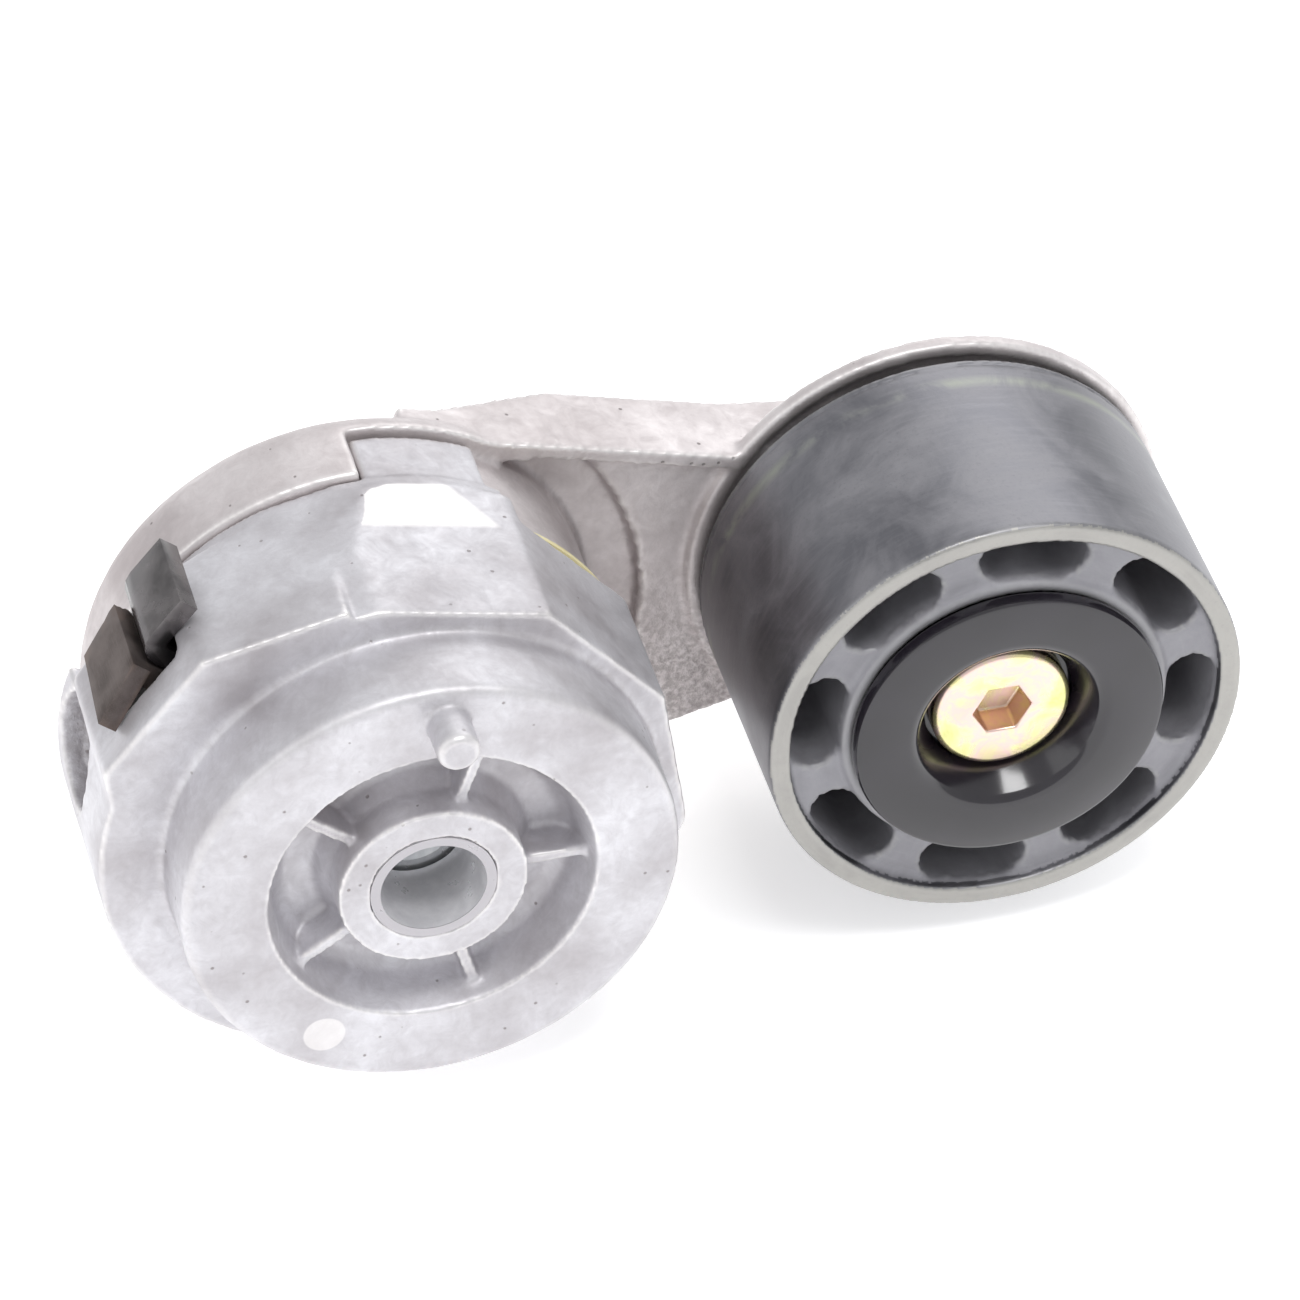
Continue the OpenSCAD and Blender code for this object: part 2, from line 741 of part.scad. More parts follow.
spring_case();
pilot_bush();
pivot_tube();
spring_liner();
torsion_spring();
spring_keeper();
spring_plate();
damping_shoe();
thrust_washer();
friction_disc();
retaining_plate();
tensioner_arm();
pivot_bushing_front();
pivot_bushing_rear();
threaded_insert();
rear_spacer();
rear_shield();
bearing_sleeve();
bearing_inner_front();
bearing_inner_rear();
dust_shield();
pulley_bolt();
pulley();
bearing_outer_front();
bearing_outer_rear();
seal_front();
seal_rear();
snap_ring();
balls_front();
balls_rear();
cage_front();
cage_rear();
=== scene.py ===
"""Visual model of a spring-loaded belt tensioner with an idler pulley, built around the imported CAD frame.

Metres throughout, in the frame of the part: Y is the pivot axis and the mounting face looks along -Y,
X runs from the pivot to the pulley and Z is up. Sizes named _mm are millimetres.
"""

import json
import logging
import math
import random
from dataclasses import dataclass
from enum import Enum
from typing import Callable

import bpy
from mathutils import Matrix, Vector

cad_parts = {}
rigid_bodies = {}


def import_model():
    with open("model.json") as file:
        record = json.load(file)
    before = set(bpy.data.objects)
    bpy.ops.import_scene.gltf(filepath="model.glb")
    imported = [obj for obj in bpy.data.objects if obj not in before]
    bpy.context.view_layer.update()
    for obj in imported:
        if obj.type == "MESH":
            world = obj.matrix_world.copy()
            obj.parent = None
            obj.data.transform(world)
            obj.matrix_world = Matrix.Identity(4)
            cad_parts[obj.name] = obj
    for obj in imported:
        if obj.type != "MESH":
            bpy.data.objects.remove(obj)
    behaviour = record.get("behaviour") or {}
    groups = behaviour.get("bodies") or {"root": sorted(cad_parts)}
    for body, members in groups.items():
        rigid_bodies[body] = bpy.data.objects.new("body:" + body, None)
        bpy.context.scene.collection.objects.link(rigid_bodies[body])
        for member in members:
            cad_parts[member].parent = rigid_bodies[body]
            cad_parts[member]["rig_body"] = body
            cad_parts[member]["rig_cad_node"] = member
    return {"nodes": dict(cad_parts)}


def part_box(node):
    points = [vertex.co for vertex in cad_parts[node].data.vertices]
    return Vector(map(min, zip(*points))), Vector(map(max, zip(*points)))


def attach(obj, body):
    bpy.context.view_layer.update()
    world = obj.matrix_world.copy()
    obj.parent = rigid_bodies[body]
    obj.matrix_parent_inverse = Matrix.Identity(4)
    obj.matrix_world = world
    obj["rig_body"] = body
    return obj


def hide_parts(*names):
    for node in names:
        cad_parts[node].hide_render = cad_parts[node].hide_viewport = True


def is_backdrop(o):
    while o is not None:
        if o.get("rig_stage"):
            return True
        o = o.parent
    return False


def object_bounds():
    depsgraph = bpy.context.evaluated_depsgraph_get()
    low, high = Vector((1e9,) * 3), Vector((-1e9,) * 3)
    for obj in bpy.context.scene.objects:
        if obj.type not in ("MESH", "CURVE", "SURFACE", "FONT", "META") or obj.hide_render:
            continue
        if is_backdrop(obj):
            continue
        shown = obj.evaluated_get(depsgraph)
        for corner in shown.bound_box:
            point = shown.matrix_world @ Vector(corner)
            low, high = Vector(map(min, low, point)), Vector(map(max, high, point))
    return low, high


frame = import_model()

MM = 0.001
# The colour sockets of a Mix node, whose factor is socket 0
MIX_A, MIX_B, MIX_RESULT = 6, 7, 2
# Points closer than this, in metres, are one point in a copied mesh
WELD = 1e-6
# Faces that meet at less than this angle, in degrees, are shaded as one
SMOOTH_ANGLE = 32
logging.basicConfig(level=logging.INFO, format="%(asctime)s %(message)s")
log = logging.getLogger("tensioner")


class Shading(Enum):
    """How a finished mesh is shaded."""

    ALL_SMOOTH = "all smooth"
    SMOOTH_BY_ANGLE = "smooth by angle"


# ---- colour and node helpers --------------------------------------------------------------------


def linear(hex_colour: str) -> tuple[float, float, float, float]:
    """Turns an sRGB hex colour into a linear RGBA colour.

    Args:
        hex_colour: the colour as "#rrggbb".

    Returns:
        The linear colour with an alpha of 1.
    """
    parts = [int(hex_colour[i : i + 2], 16) / 255 for i in (1, 3, 5)]
    turned = [c / 12.92 if c <= 0.04045 else ((c + 0.055) / 1.055) ** 2.4 for c in parts]
    return (*turned, 1.0)


def add(
    tree: bpy.types.NodeTree,
    kind: str,
    values: dict | None = None,
    links: dict | None = None,
    stops: tuple = (),
    **settings: object,
) -> bpy.types.Node:
    """Adds a shader node with its settings, socket values and incoming links.

    Args:
        tree: the node tree that gets the node.
        kind: the node's type, without its "ShaderNode" prefix.
        values: socket name or number to the value it is set to.
        links: socket name or number to the output that feeds it.
        stops: (position, hex colour or grey level) pairs of a colour ramp.
        settings: attributes of the node.

    Returns:
        The new node.
    """
    made = tree.nodes.new("ShaderNode" + kind)
    for key, value in settings.items():
        setattr(made, key, value)
    for socket, value in (values or {}).items():
        made.inputs[socket].default_value = value
    for socket, source in (links or {}).items():
        tree.links.new(source, made.inputs[socket])
    for i, (position, level) in enumerate(stops):
        elements = made.color_ramp.elements
        element = elements[i] if i < 2 else elements.new(position)
        element.position = position
        element.color = linear(level) if isinstance(level, str) else (level, level, level, 1)
    return made


def new_tree(name: str) -> tuple[bpy.types.Material, bpy.types.NodeTree]:
    """Makes an empty node material and returns it with its tree."""
    material = bpy.data.materials.new(name)
    material.use_nodes = True
    material.node_tree.nodes.clear()
    return material, material.node_tree


def surface(tree: bpy.types.NodeTree, values: dict, links: dict) -> None:
    """Ends a material's tree with one shader on the surface output.

    Args:
        tree: the material's tree.
        values: values of the shader's own sockets.
        links: outputs that feed the shader's sockets.
    """
    shader = add(tree, "BsdfPrincipled", values, links)
    add(tree, "OutputMaterial", links={"Surface": shader.outputs[0]})


# ---- finishes --------------------------------------------------------------------------------------


@dataclass(frozen=True)
class CastAluminium:
    """Die-cast aluminium, tumbled after casting.

    A soft pale grey metal with a faint warm cast: cloudy patches a few centimetres across, a fine sandy
    grain, brown-grey painted shade in the concave creases and rubbed edges partly painted as a highlight.
    """

    name: str
    pale: str = "#dddce0"
    dull: str = "#b5b1b4"
    # The brown-grey of pits and of the cored pocket's skin, also used as painted shade in concave creases
    stain_and_crease_shade: str = "#8b8382"
    # The pale rubbed colour: rubbed edges and the gauge mark, and also the painted highlight on convex edges
    # and on the case's top flat
    rubbed: str = "#f7f4f2"
    roughness: float = 0.52
    cloud_mm: float = 16.0
    grain_mm: float = 0.7
    pit_mm: float = 2.6
    wave_mm: float = 5.0
    metallic: float = 0.72

    def masks(self, tree: bpy.types.NodeTree, place: bpy.types.NodeSocket) -> tuple:
        """Places that differ from the rest, as (brightening, roughening) outputs or None."""
        return None, None

    def material(self) -> bpy.types.Material:
        """Builds the finish and returns its material."""
        material, tree = new_tree(self.name)
        place = add(tree, "TexCoord").outputs["Object"]
        cloud = add(tree, "TexNoise", {"Scale": 1 / (self.cloud_mm * MM), "Detail": 5, "Roughness": 0.6},
                    {"Vector": place})
        smear = add(tree, "TexNoise",
                    {"Scale": 1 / (4 * MM), "Detail": 6, "Roughness": 0.7, "Distortion": 0.6},
                    {"Vector": place})
        grain = add(tree, "TexNoise", {"Scale": 1 / (self.grain_mm * MM), "Detail": 3, "Roughness": 0.65},
                    {"Vector": place})
        wave = add(tree, "TexNoise", {"Scale": 1 / (self.wave_mm * MM), "Detail": 2}, {"Vector": place})
        pits = add(tree, "TexVoronoi", {"Scale": 1 / (self.pit_mm * MM), "Randomness": 1.0},
                   {"Vector": place})
        edges = add(tree, "NewGeometry").outputs["Pointiness"]

        cloudy = add(tree, "ValToRGB", links={"Fac": cloud.outputs["Fac"]},
                     stops=((0.32, self.dull), (0.62, self.pale)))
        smeared = add(tree, "ValToRGB", links={"Fac": smear.outputs["Fac"]}, stops=((0.38, 0.0), (0.7, 1.0)))
        colour = add(tree, "Mix", {MIX_B: linear(self.dull)},
                     {MIX_A: cloudy.outputs[0], 0: add(tree, "Math", {1: 0.45}, {0: smeared.outputs[0]},
                                                   operation="MULTIPLY").outputs[0]},
                     data_type="RGBA")
        # Painted shade: concave creases, found by low pointiness, are darkened towards the brown-grey,
        # broken up by the smear noise
        corner = add(tree, "MapRange", {1: 0.495, 2: 0.44, 3: 0.0, 4: 0.4}, {0: edges})
        broken = add(tree, "Math", links={0: corner.outputs[0], 1: smeared.outputs[0]}, operation="MULTIPLY")
        crease_shaded = add(tree, "Mix", {MIX_B: linear(self.stain_and_crease_shade)},
                      {0: broken.outputs[0], MIX_A: colour.outputs[MIX_RESULT]},
                      data_type="RGBA")
        dark_pit = add(tree, "MapRange", {1: 0.07, 2: 0.13, 3: 0.75, 4: 0.0}, {0: pits.outputs["Distance"]})
        few = add(tree, "MapRange", {1: 0.72, 2: 0.74, 3: 0.0, 4: 1.0}, {0: pits.outputs["Color"]})
        pitted = add(tree, "Math", links={0: dark_pit.outputs[0], 1: few.outputs[0]}, operation="MULTIPLY")
        speckled = add(tree, "Mix", {MIX_B: linear(self.stain_and_crease_shade)},
                       {0: pitted.outputs[0], MIX_A: crease_shaded.outputs[MIX_RESULT]},
                       data_type="RGBA")
        # Convex edges, found by high pointiness, turn to the pale rubbed colour: rubbed metal and partly a
        # painted highlight
        edge = add(tree, "MapRange", {1: 0.512, 2: 0.56, 3: 0.0, 4: 0.85}, {0: edges})
        worn = add(tree, "Mix", {MIX_B: linear(self.rubbed)},
                   {0: edge.outputs[0], MIX_A: speckled.outputs[MIX_RESULT]},
                   data_type="RGBA")
        brighten, roughen = self.masks(tree, place)
        final = worn.outputs[MIX_RESULT]
        # The brightening mask holds the painted highlight of the case's top flat and the real gauge mark,
        # both in the pale rubbed colour
        if brighten is not None:
            final = add(tree, "Mix", {MIX_B: linear(self.rubbed)}, {0: brighten, MIX_A: final},
                        data_type="RGBA").outputs[MIX_RESULT]

        rough = add(tree, "MapRange", {1: 0.3, 2: 0.7, 3: self.roughness - 0.07, 4: self.roughness + 0.1},
                    {0: smear.outputs["Fac"]})
        smoother = add(tree, "Math", {1: 0.16}, {0: edge.outputs[0]}, operation="MULTIPLY")
        rubbed = add(tree, "Math", links={0: rough.outputs[0], 1: smoother.outputs[0]}, operation="SUBTRACT")

        fine = add(tree, "Bump", {"Strength": 0.22, "Distance": 0.12 * MM}, {"Height": grain.outputs["Fac"]})
        waves = add(tree, "Bump", {"Strength": 0.35, "Distance": 0.35 * MM},
                    {"Height": wave.outputs["Fac"], "Normal": fine.outputs[0]})
        holes = add(tree, "Bump", {"Strength": 0.6, "Distance": 0.2 * MM},
                    {"Height": pitted.outputs[0], "Normal": waves.outputs[0]}, invert=True)
        last = holes.outputs[0]
        if roughen is not None:
            coarse = add(tree, "TexNoise", {"Scale": 1 / (1.3 * MM), "Detail": 4, "Roughness": 0.6},
                         {"Vector": place})
            height = add(tree, "Math", links={0: coarse.outputs["Fac"], 1: roughen}, operation="MULTIPLY")
            hollow = add(tree, "MapRange", {1: 0.6, 2: 0.42, 4: 0.5}, {0: coarse.outputs["Fac"]})
            soiled = add(tree, "Math", links={0: hollow.outputs[0], 1: roughen}, operation="MULTIPLY")
            final = add(tree, "Mix", {MIX_B: linear(self.stain_and_crease_shade)}, {0: soiled.outputs[0], MIX_A: final},
                        data_type="RGBA").outputs[MIX_RESULT]
            last = add(tree, "Bump", {"Strength": 0.9, "Distance": 0.5 * MM},
                       {"Height": height.outputs[0], "Normal": last}).outputs[0]
        surface(tree, {"Metallic": self.metallic},
                {"Base Color": final, "Roughness": rubbed.outputs[0], "Normal": last})
        return material


@dataclass(frozen=True)
class CaseAluminium(CastAluminium):
    """The spring case's cast aluminium, with a painted highlight on its top flat and the round gauge mark.
    """

    flat_angle: float = 77.0
    # Bounds of the top flat's painted highlight: from and to along Y, and its left and right edges across,
    # each at the start and at the end along Y
    highlight_from_mm: float = 33.4
    highlight_to_mm: float = 44.2
    highlight_left_mm: tuple[float, float] = (-13.4, -9.8)
    highlight_right_mm: tuple[float, float] = (10.4, 4.2)
    mark_at_mm: tuple[float, float] = (-17.2, -25.5)
    mark_r_mm: float = 3.3
    pocket_angle: float = 171.5
    pocket_r_mm: float = 42.0

    def masks(self, tree: bpy.types.NodeTree, place: bpy.types.NodeSocket) -> tuple:
        """Returns the painted highlight on the top flat with the gauge mark, and the rough cored pocket."""
        # Painted highlight: the top flat, picked by its normal and bounded along Y and across, is mixed to
        # the pale rubbed colour
        normal = add(tree, "TexCoord").outputs["Normal"]
        a = math.radians(self.flat_angle)
        facing = add(tree, "VectorMath", {1: (math.cos(a), 0, math.sin(a))}, {0: normal},
                     operation="DOT_PRODUCT")
        on_flat = add(tree, "MapRange", {1: 0.988, 2: 0.997}, {0: facing.outputs["Value"]})
        parts = add(tree, "SeparateXYZ", links={0: place})
        start, end = self.highlight_from_mm, self.highlight_to_mm
        behind = add(tree, "MapRange", {1: start * MM, 2: (start + 1.2) * MM}, {0: parts.outputs["Y"]})
        before = add(tree, "MapRange", {1: end * MM, 2: (end - 0.6) * MM}, {0: parts.outputs["Y"]})
        strip = add(tree, "Math", links={0: before.outputs[0], 1: behind.outputs[0]}, operation="MULTIPLY")
        across = add(tree, "VectorMath", {1: (math.sin(a), 0, -math.cos(a))}, {0: place},
                     operation="DOT_PRODUCT")
        for (front, back), inward in ((self.highlight_left_mm, 1), (self.highlight_right_mm, -1)):
            edge = add(tree, "MapRange", {1: start * MM, 2: end * MM, 3: front * MM, 4: back * MM},
                       {0: parts.outputs["Y"]})
            past = add(tree, "Math", links={0: across.outputs["Value"], 1: edge.outputs[0]},
                       operation="SUBTRACT")
            side = add(tree, "MapRange", {1: -0.3 * inward * MM, 2: 0.9 * inward * MM}, {0: past.outputs[0]})
            strip = add(tree, "Math", links={0: strip.outputs[0], 1: side.outputs[0]}, operation="MULTIPLY")
        flat_highlight = add(tree, "Math", links={0: on_flat.outputs[0], 1: strip.outputs[0]}, operation="MULTIPLY")
        x, z = self.mark_at_mm
        away = add(tree, "VectorMath", {1: (x * MM, 0, z * MM)}, {0: place}, operation="DISTANCE")
        mark = add(tree, "MapRange",
                   {1: self.mark_r_mm * MM, 2: (self.mark_r_mm - 0.25) * MM, 3: 0.0, 4: 0.5},
                   {0: away.outputs["Value"]})
        both = add(tree, "Math", links={0: flat_highlight.outputs[0], 1: mark.outputs[0]}, operation="MAXIMUM")
        p = math.radians(self.pocket_angle)
        centre = (self.pocket_r_mm * math.cos(p) * MM, 35.3 * MM, self.pocket_r_mm * math.sin(p) * MM)
        near = add(tree, "VectorMath", {1: centre}, {0: place}, operation="DISTANCE")
        pocket = add(tree, "MapRange", {1: 10.5 * MM, 2: 8.0 * MM}, {0: near.outputs["Value"]})
        return both.outputs[0], pocket.outputs[0]


@dataclass(frozen=True)
class ArmAluminium(CastAluminium):
    """The arm's cast aluminium: darker and coarser on the web's front, where the die is worn."""

    def masks(self, tree: bpy.types.NodeTree, place: bpy.types.NodeSocket) -> tuple:
        """Returns no bright patch, and a coarse skin over the web between drum and flange."""
        parts = add(tree, "SeparateXYZ", links={0: place})
        low = add(tree, "MapRange", {1: 6 * MM, 2: -16 * MM}, {0: parts.outputs["Z"]})
        right = add(tree, "MapRange", {1: 34 * MM, 2: 42 * MM}, {0: parts.outputs["X"]})
        front = add(tree, "MapRange", {1: 62 * MM, 2: 60 * MM}, {0: parts.outputs["Y"]})
        corner = add(tree, "Math", links={0: low.outputs[0], 1: right.outputs[0]}, operation="MULTIPLY")
        worn = add(tree, "Math", links={0: corner.outputs[0], 1: front.outputs[0]}, operation="MULTIPLY")
        return None, worn.outputs[0]


@dataclass(frozen=True)
class TurnedSteel:
    """Phosphated steel, turned on a lathe and lightly oiled.

    A dark slate grey with faint bands round the axis, dry cloudy patches and a rubbed edge painted lighter,
    partly as a highlight.
    """

    name: str
    dark: str
    light: str
    axis_x: float
    streak_y: float
    roughness: float = 0.42
    band_mm: float = 0.8
    patch_mm: float = 14.0
    metallic: float = 1.0

    def material(self) -> bpy.types.Material:
        """Builds the finish and returns its material."""
        material, tree = new_tree(self.name)
        place = add(tree, "TexCoord").outputs["Object"]
        centred = add(tree, "Mapping", {"Location": (-self.axis_x, 0, 0)}, {"Vector": place})
        parts = add(tree, "SeparateXYZ", links={0: centred.outputs[0]})
        angle = add(tree, "Math", links={0: parts.outputs["Z"], 1: parts.outputs["X"]}, operation="ARCTAN2")
        flat = add(tree, "CombineXYZ", links={"X": parts.outputs["X"], "Y": parts.outputs["Z"]})
        radius = add(tree, "VectorMath", links={0: flat.outputs[0]}, operation="LENGTH")
        turned = add(tree, "Math", {1: 0.004}, {0: angle.outputs[0]}, operation="MULTIPLY")
        around = add(tree, "CombineXYZ", links={"X": turned.outputs[0], "Y": parts.outputs["Y"],
                                                "Z": radius.outputs["Value"]})
        bands = add(tree, "TexNoise", {"Scale": 1 / (self.band_mm * MM), "Detail": 3, "Roughness": 0.6},
                    {"Vector": around.outputs[0]})
        patch = add(tree, "TexNoise", {"Scale": 1 / (self.patch_mm * MM), "Detail": 6, "Roughness": 0.62,
                                       "Distortion": 0.8}, {"Vector": place})
        fine = add(tree, "TexNoise", {"Scale": 1 / (0.6 * MM), "Detail": 4, "Roughness": 0.7},
                   {"Vector": place})
        edges = add(tree, "NewGeometry").outputs["Pointiness"]
        patched = add(tree, "ValToRGB", links={"Fac": patch.outputs["Fac"]},
                      stops=((0.36, self.dark), (0.7, self.light)))
        banded = add(tree, "Mix", {MIX_B: linear(self.light)},
                     {MIX_A: patched.outputs[0], 0: add(tree, "MapRange", {1: 0.5, 2: 0.8, 4: 0.3},
                                                    {0: bands.outputs["Fac"]}).outputs[0]},
                     data_type="RGBA")
        sandy = add(tree, "Mix", {MIX_B: linear(self.dark)},
                    {MIX_A: banded.outputs[MIX_RESULT], 0: add(tree, "MapRange", {1: 0.55, 2: 0.75, 4: 0.45},
                                                  {0: fine.outputs["Fac"]}).outputs[0]},
                    data_type="RGBA")
        level = add(tree, "Math", {1: self.streak_y}, {0: parts.outputs["Y"]}, operation="SUBTRACT")
        off = add(tree, "Math", links={0: level.outputs[0]}, operation="ABSOLUTE")
        track = add(tree, "MapRange", {1: 1.6 * MM, 2: 0.2 * MM, 4: 1.3}, {0: off.outputs[0]})
        broken = add(tree, "MapRange", {1: 0.42, 2: 0.68}, {0: patch.outputs["Fac"]})
        streak = add(tree, "Math", links={0: track.outputs[0], 1: broken.outputs[0]}, operation="MULTIPLY",
                     use_clamp=True)
        streaked = add(tree, "Mix", {MIX_B: linear("#a3a69d")},
                       {0: streak.outputs[0], MIX_A: sandy.outputs[MIX_RESULT]},
                       data_type="RGBA")
        # Convex edges, found by high pointiness, turn lighter: rubbed steel and partly a painted highlight
        # on the rim's front edge
        edge = add(tree, "MapRange", {1: 0.508, 2: 0.56, 4: 0.35}, {0: edges})
        worn = add(tree, "Mix", {MIX_B: linear("#bdbdb8")},
                   {0: edge.outputs[0], MIX_A: streaked.outputs[MIX_RESULT]},
                   data_type="RGBA")
        rough = add(tree, "MapRange", {1: 0.35, 2: 0.7, 3: self.roughness - 0.08, 4: self.roughness + 0.14},
                    {0: patch.outputs["Fac"]})
        ringed = add(tree, "Bump", {"Strength": 0.16, "Distance": 0.08 * MM},
                     {"Height": bands.outputs["Fac"]})
        grainy = add(tree, "Bump", {"Strength": 0.2, "Distance": 0.08 * MM},
                     {"Height": fine.outputs["Fac"], "Normal": ringed.outputs[0]})
        surface(tree, {"Metallic": self.metallic},
                {"Base Color": worn.outputs[MIX_RESULT], "Roughness": rough.outputs[0],
                 "Normal": grainy.outputs[0]})
        return material


@dataclass(frozen=True)
class SmoothCoat:
    """An even surface with only small differences: plated steel, stove enamel, plastic or rubber.

    Two near colours drift into each other, a fine skin breaks the gloss, and dust sits in it as specks.
    """

    name: str
    first: str
    second: str
    roughness: float
    metallic: float = 0.0
    coat: float = 0.0
    drift_mm: float = 6.0
    skin_mm: float = 0.5
    skin: float = 0.12
    specks: str | None = None
    front: str | None = None
    front_mm: float = 0.2

    def material(self) -> bpy.types.Material:
        """Builds the finish and returns its material."""
        material, tree = new_tree(self.name)
        place = add(tree, "TexCoord").outputs["Object"]
        drift = add(tree, "TexNoise", {"Scale": 1 / (self.drift_mm * MM), "Detail": 4, "Roughness": 0.6},
                    {"Vector": place})
        skin = add(tree, "TexNoise", {"Scale": 1 / (self.skin_mm * MM), "Detail": 2}, {"Vector": place})
        colour = add(tree, "ValToRGB", links={"Fac": drift.outputs["Fac"]},
                     stops=((0.35, self.first), (0.65, self.second))).outputs[0]
        if self.specks:
            dots = add(tree, "TexVoronoi", {"Scale": 1 / (1.7 * MM)}, {"Vector": place})
            small = add(tree, "MapRange", {1: 0.035, 2: 0.06, 3: 0.9, 4: 0.0}, {0: dots.outputs["Distance"]})
            few = add(tree, "MapRange", {1: 0.8, 2: 0.82}, {0: dots.outputs["Color"]})
            dusty = add(tree, "Math", links={0: small.outputs[0], 1: few.outputs[0]}, operation="MULTIPLY")
            colour = add(tree, "Mix", {MIX_B: linear(self.specks)}, {0: dusty.outputs[0], MIX_A: colour},
                         data_type="RGBA").outputs[MIX_RESULT]
        if self.front:
            parts = add(tree, "SeparateXYZ", links={0: place})
            at_front = add(tree, "MapRange", {1: self.front_mm * MM, 2: 0.5 * self.front_mm * MM},
                           {0: parts.outputs["Y"]})
            colour = add(tree, "Mix", {MIX_B: linear(self.front)}, {0: at_front.outputs[0], MIX_A: colour},
                         data_type="RGBA").outputs[MIX_RESULT]
        rough = add(tree, "MapRange", {1: 0.3, 2: 0.7, 3: self.roughness * 0.85, 4: self.roughness * 1.25},
                    {0: drift.outputs["Fac"]})
        bump = add(tree, "Bump", {"Strength": self.skin, "Distance": 0.06 * MM},
                   {"Height": skin.outputs["Fac"]})
        surface(tree, {"Metallic": self.metallic, "Coat Weight": self.coat, "Coat Roughness": 0.12},
                {"Base Color": colour, "Roughness": rough.outputs[0], "Normal": bump.outputs[0]})
        return material


@dataclass(frozen=True)
class YellowZinc:
    """Zinc plate with a yellow chromate film.

    A pale gold mirror whose thin film turns pink and green in clouds a few millimetres across.
    """

    name: str = "steel_yellow_zinc"
    gold: str = "#f0e6ae"
    pink: str = "#f0d2cb"
    green: str = "#d4d78c"
    roughness: float = 0.27

    def material(self) -> bpy.types.Material:
        """Builds the finish and returns its material."""
        material, tree = new_tree(self.name)
        place = add(tree, "TexCoord").outputs["Object"]
        film = add(tree, "TexNoise", {"Scale": 1 / (6.5 * MM), "Detail": 5, "Roughness": 0.55,
                                      "Distortion": 0.5}, {"Vector": place})
        fine = add(tree, "TexNoise", {"Scale": 1 / (0.5 * MM), "Detail": 3}, {"Vector": place})
        edges = add(tree, "NewGeometry").outputs["Pointiness"]
        colour = add(tree, "ValToRGB", links={"Fac": film.outputs["Fac"]},
                     stops=((0.3, self.green), (0.72, self.gold), (0.43, self.gold), (0.55, self.pink)))
        inside = add(tree, "MapRange", {1: 0.49, 2: 0.42, 4: 0.6}, {0: edges})
        deep = add(tree, "Mix", {MIX_B: linear("#9b8b3c")}, {0: inside.outputs[0], MIX_A: colour.outputs[0]},
                   data_type="RGBA")
        rough = add(tree, "MapRange", {1: 0.3, 2: 0.7, 3: self.roughness - 0.07, 4: self.roughness + 0.1},
                    {0: film.outputs["Fac"]})
        bump = add(tree, "Bump", {"Strength": 0.15, "Distance": 0.08 * MM}, {"Height": fine.outputs["Fac"]})
        surface(tree, {"Metallic": 1.0},
                {"Base Color": deep.outputs[MIX_RESULT], "Roughness": rough.outputs[0],
                 "Normal": bump.outputs[0]})
        return material


@dataclass(frozen=True)
class BlackenedSteel:
    """Rolled or sheared steel with a black oxide skin.

    Charcoal grey with long rolling lines, and grey metal showing where the edges are rubbed or torn.
    """

    name: str
    dark: str
    light: str
    edge: str
    grain: tuple[float, float, float]
    roughness: float = 0.36
    line_mm: float = 0.5

    def material(self) -> bpy.types.Material:
        """Builds the finish and returns its material."""
        material, tree = new_tree(self.name)
        place = add(tree, "TexCoord").outputs["Object"]
        along = add(tree, "Mapping", {"Scale": self.grain}, {"Vector": place})
        lines = add(tree, "TexNoise", {"Scale": 1 / (self.line_mm * MM), "Detail": 3, "Roughness": 0.6},
                    {"Vector": along.outputs[0]})
        cloud = add(tree, "TexNoise", {"Scale": 1 / (5 * MM), "Detail": 5}, {"Vector": place})
        edges = add(tree, "NewGeometry").outputs["Pointiness"]
        colour = add(tree, "ValToRGB", links={"Fac": cloud.outputs["Fac"]},
                     stops=((0.35, self.dark), (0.7, self.light)))
        lined = add(tree, "Mix", {MIX_B: linear(self.light)},
                    {MIX_A: colour.outputs[0], 0: add(tree, "MapRange", {1: 0.5, 2: 0.75, 4: 0.5},
                                                  {0: lines.outputs["Fac"]}).outputs[0]},
                    data_type="RGBA")
        edge = add(tree, "MapRange", {1: 0.53, 2: 0.66, 4: 0.5}, {0: edges})
        torn = add(tree, "Math", links={0: edge.outputs[0], 1: cloud.outputs["Fac"]}, operation="MULTIPLY")
        worn = add(tree, "Mix", {MIX_B: linear(self.edge)},
                   {0: torn.outputs[0], MIX_A: lined.outputs[MIX_RESULT]},
                   data_type="RGBA")
        rough = add(tree, "MapRange", {1: 0.3, 2: 0.7, 3: self.roughness - 0.06, 4: self.roughness + 0.1},
                    {0: cloud.outputs["Fac"]})
        bump = add(tree, "Bump", {"Strength": 0.18, "Distance": 0.06 * MM}, {"Height": lines.outputs["Fac"]})
        surface(tree, {"Metallic": 0.85},
                {"Base Color": worn.outputs[MIX_RESULT], "Roughness": rough.outputs[0],
                 "Normal": bump.outputs[0]})
        return material


# ---- modelling helpers -----------------------------------------------------------------------------


def deselect_all() -> None:
    """Leaves edit mode and deselects every object."""
    if bpy.context.object and bpy.context.object.mode != "OBJECT":
        bpy.ops.object.mode_set(mode="OBJECT")
    bpy.ops.object.select_all(action="DESELECT")


def pick(piece: bpy.types.Object) -> None:
    """Makes a piece the only selected object and the active one."""
    deselect_all()
    piece.select_set(True)
    bpy.context.view_layer.objects.active = piece


